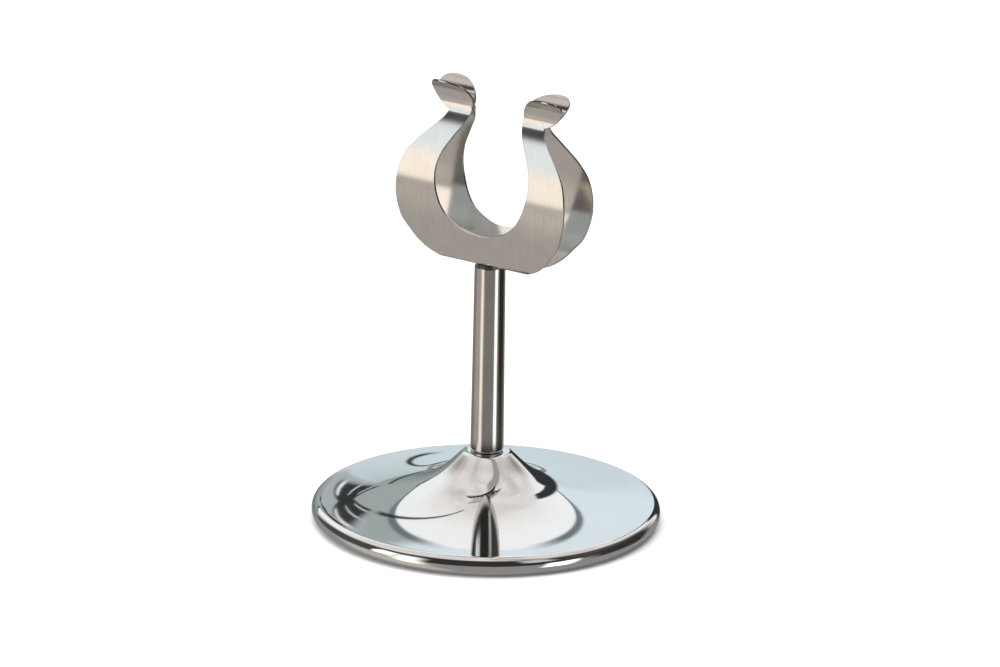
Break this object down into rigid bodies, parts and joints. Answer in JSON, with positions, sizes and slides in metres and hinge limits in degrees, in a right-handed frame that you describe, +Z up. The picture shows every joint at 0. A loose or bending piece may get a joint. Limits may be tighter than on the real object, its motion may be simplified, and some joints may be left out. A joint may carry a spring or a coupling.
{
  "type": "spring clip stand",
  "caption": "Round weighted base with a rolled rim, a plain steel stem and a horseshoe-shaped spring clip with flared ears that holds a razor or a card upright.",
  "frame": {"origin": "centre of the face that the stand rests on", "axes": "+Z up along the stem, +X along the width of the clip, +Y towards the rear leaf, which the clip leans to"},
  "size_m": [0.076, 0.076, 0.0977],
  "materials": {
    "polished_base": "mirror polished",
    "stem_steel": "polished",
    "spring_steel": "fine satin",
    "ballast_iron": "rough cast",
    "pad_rubber": "matt foam rubber",
    "screw_steel": "zinc plated"
  },
  "bodies": {
    "stand": {"base_shell": "polished_base", "ballast_plate": "ballast_iron", "base_pad": "pad_rubber", "base_washer": "screw_steel", "base_lock_washer": "screw_steel", "base_screw": "screw_steel", "stem": "stem_steel", "clip_screw": "screw_steel", "clip_web": "spring_steel"},
    "front_leaf": {"front_leaf": "spring_steel"},
    "rear_leaf": {"rear_leaf": "spring_steel"}
  },
  "joints": [
    {"name": "front_leaf_flex", "type": "hinge", "parent": "stand", "child": "front_leaf", "pos_m": [0, -0.00262, 0.05977], "axis": [1, 0, 0], "range_deg": [0, 5], "stiffness_Nm_per_rad": 3},
    {"name": "rear_leaf_flex", "type": "hinge", "parent": "stand", "child": "rear_leaf", "pos_m": [0, 0.00264, 0.05965], "axis": [-1, 0, 0], "range_deg": [0, 5], "stiffness_Nm_per_rad": 3}
  ]
}
